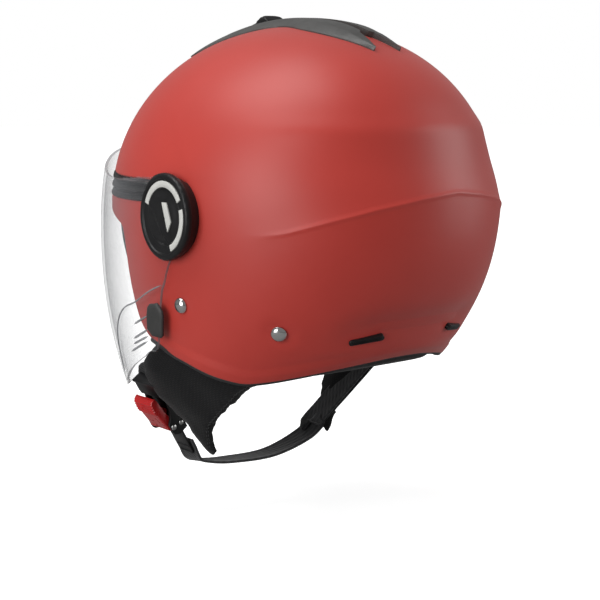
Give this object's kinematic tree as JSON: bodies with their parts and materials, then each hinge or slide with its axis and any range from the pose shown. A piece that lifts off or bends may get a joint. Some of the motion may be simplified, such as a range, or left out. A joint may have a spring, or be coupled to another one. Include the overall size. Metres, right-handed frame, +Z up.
{
  "type": "motorcycle helmet",
  "caption": "Open-face motorcycle helmet with a long clear visor, a drop-down sun visor and a chin strap with a ratchet buckle.",
  "frame": {"origin": "middle of the head opening, level with the lowest point of the shell rim", "axes": "+Z up, the wearer faces -Y, the wearer's left is +X"},
  "size_m": [0.263, 0.2916, 0.3208],
  "materials": {
    "shell_paint": "matte",
    "foam": "matte",
    "lining": "matte",
    "webbing": "matte",
    "black_rubber": "satin",
    "black_plastic": "satin",
    "clear_plastic": "gloss",
    "smoked_plastic": "gloss",
    "red_plastic": "gloss",
    "silver": "satin",
    "chrome_steel": "gloss",
    "plain_steel": "satin"
  },
  "bodies": {
    "root": {"outer_shell": "shell_paint", "eps_liner": "foam", "crown_liner": "lining", "cheek_pad_left": "lining", "cheek_pad_right": "lining", "neck_roll": "lining", "rim_trim": "black_rubber", "brow_gasket": "black_rubber", "top_cover": "black_plastic", "exhaust_grilles": "black_plastic", "strap_rivets": "chrome_steel", "rivet_washers": "plain_steel", "strap_webbing_left": "webbing", "strap_webbing_right": "webbing", "strap_sleeve_left": "lining", "strap_sleeve_right": "lining", "pivot_base_left": "black_plastic", "pivot_base_right": "black_plastic", "pivot_cap_left": "black_plastic", "pivot_cap_right": "black_plastic", "cap_inlays_left": "silver", "cap_inlays_right": "silver", "pivot_screws": "plain_steel", "pivot_nuts": "plain_steel", "buckle_frame": "black_plastic", "buckle_pin": "plain_steel", "buckle_rivets": "plain_steel", "buckle_spring": "plain_steel", "chin_band": "webbing"},
    "visor": {"visor": "clear_plastic", "visor_bumper_left": "black_rubber", "visor_bumper_right": "black_rubber"},
    "sun_visor": {"sun_visor": "smoked_plastic"},
    "sun_visor_slider": {"sun_visor_slider": "black_plastic"},
    "vent_slider": {"vent_slider": "black_plastic"},
    "buckle_lever": {"buckle_lever": "red_plastic"},
    "buckle_tongue": {"buckle_tongue": "plain_steel"}
  },
  "joints": [
    {"name": "visor_hinge", "type": "hinge", "parent": "root", "child": "visor", "pos_m": [0, 0, 0.113], "axis": [-1, 0, 0], "range_deg": [0, 60]},
    {"name": "sun_visor_hinge", "type": "hinge", "parent": "root", "child": "sun_visor", "pos_m": [0, -0.0136, 0.1097], "axis": [-1, 0, 0], "range_deg": [0, 32]},
    {"name": "sun_visor_slide", "type": "hinge", "parent": "root", "child": "sun_visor_slider", "pos_m": [0, 0.005, 0.079], "axis": [-1, 0, 0], "range_deg": [0, 26]},
    {"name": "vent_slide", "type": "slide", "parent": "root", "child": "vent_slider", "axis": [0, -0.929, -0.37], "range_m": [0, 0.005]},
    {"name": "buckle_lever_hinge", "type": "hinge", "parent": "root", "child": "buckle_lever", "pos_m": [0.06857, -0.06966, -0.04115], "axis": [0.001, 0.9973, -0.0735], "range_deg": [0, 35]},
    {"name": "buckle_tongue_slide", "type": "slide", "parent": "root", "child": "buckle_tongue", "axis": [-0.5599, -0.0604, -0.8263], "range_m": [0, 0.035], "deforming": ["chin_band"]}
  ],
  "couplings": [
    {"joint": "sun_visor_slide", "follows": "sun_visor_hinge", "ratio": 0.8125}
  ]
}
